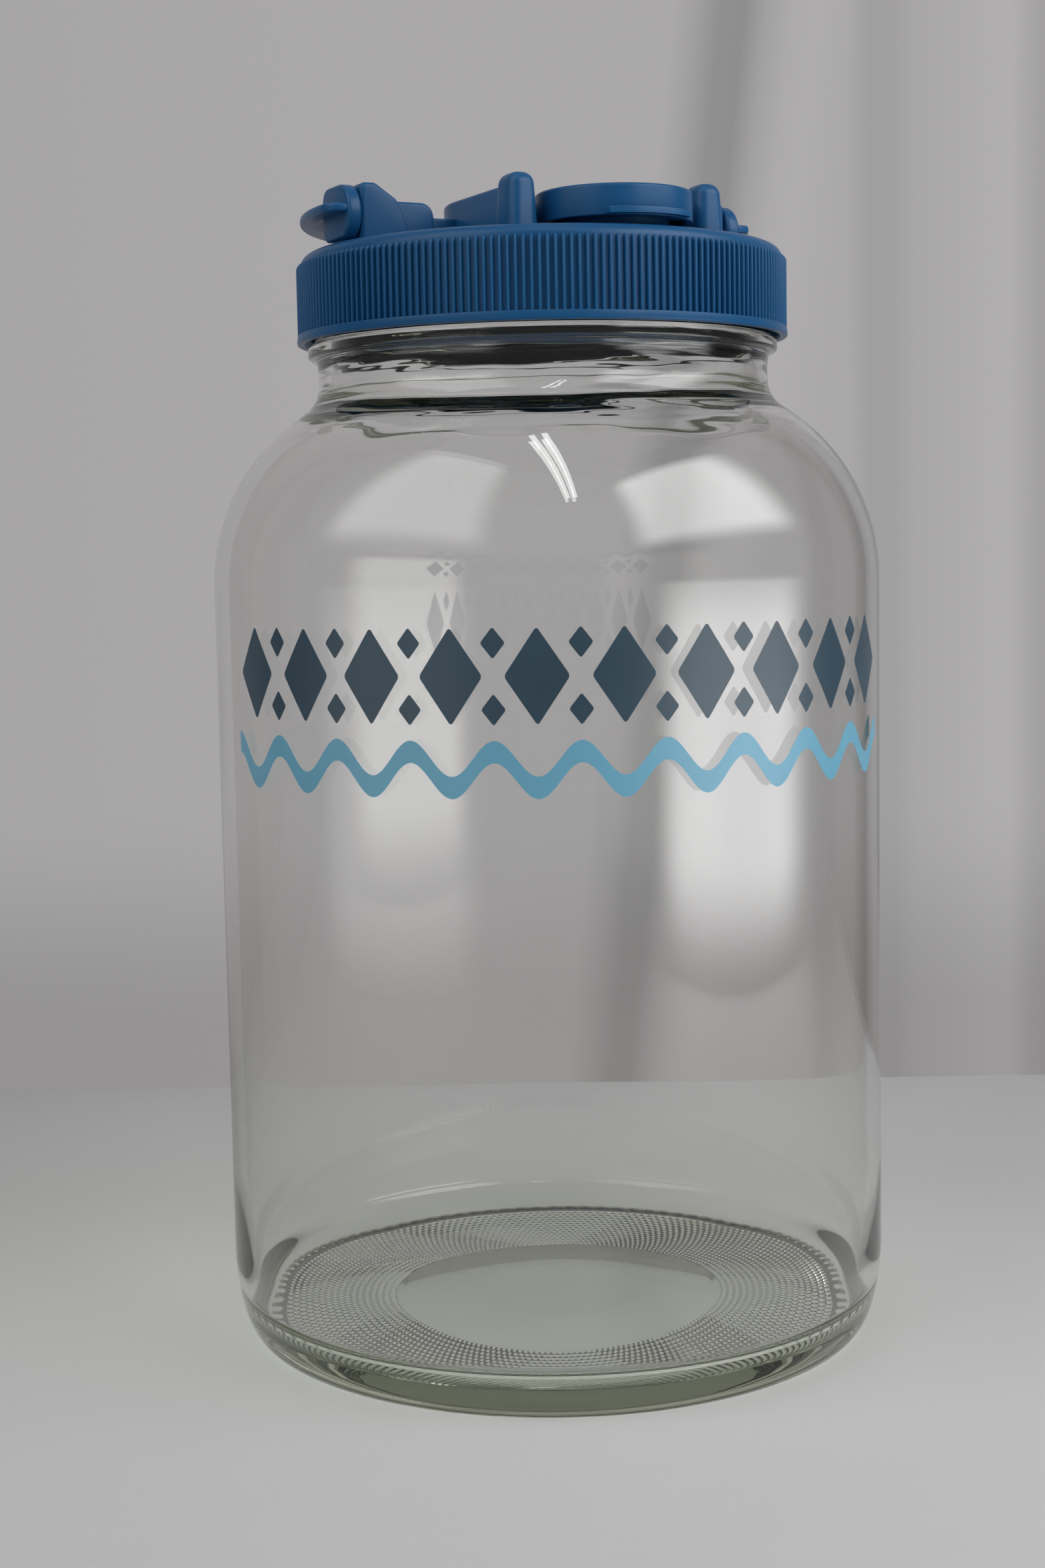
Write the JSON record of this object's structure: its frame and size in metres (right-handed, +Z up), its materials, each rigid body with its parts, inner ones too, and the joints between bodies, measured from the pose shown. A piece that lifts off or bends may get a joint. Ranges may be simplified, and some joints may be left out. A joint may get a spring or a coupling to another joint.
{
  "type": "glass water jar",
  "caption": "Wide-mouth glass water jar with a ribbed screw lid, a pour spout under a flip cap and a fold-back carry handle.",
  "frame": {"origin": "on the jar's axis, at the height of the surface that the jar stands on", "axes": "+Z up along the jar's axis, -Y towards the pour spout, +X to the right when the spout faces the viewer"},
  "size_m": [0.155, 0.155, 0.2645],
  "materials": {
    "clear_glass": "clear, gloss",
    "blue_plastic": "fine satin",
    "white_silicone": "matt"
  },
  "bodies": {
    "jar": {"glass_jar": "clear_glass"},
    "gasket": {"lid_gasket": "white_silicone"},
    "lid": {"screw_lid": "blue_plastic"},
    "cap": {"flip_cap": "blue_plastic", "flip_cap_seal": "white_silicone"},
    "handle": {"carry_handle": "blue_plastic"}
  },
  "joints": [
    {"name": "lid_rise", "type": "slide", "parent": "jar", "child": "gasket", "axis": [0, 0, 1], "range_m": [0, 0.00763]},
    {"name": "lid_turn", "type": "hinge", "parent": "gasket", "child": "lid", "pos_m": [0, 0, 0.24], "axis": [0, 0, 1], "range_deg": [0, 540]},
    {"name": "flip_cap_hinge", "type": "hinge", "parent": "lid", "child": "cap", "pos_m": [0, -0.01715, 0.25698], "axis": [-1, 0, 0], "range_deg": [0, 180]},
    {"name": "handle_hinge", "type": "hinge", "parent": "lid", "child": "handle", "pos_m": [0, 0, 0.25798], "axis": [1, 0, 0], "range_deg": [0, 165]}
  ],
  "couplings": [
    {"joint": "lid_rise", "follows": "lid_turn", "m_per_rad": 0.00080851}
  ]
}
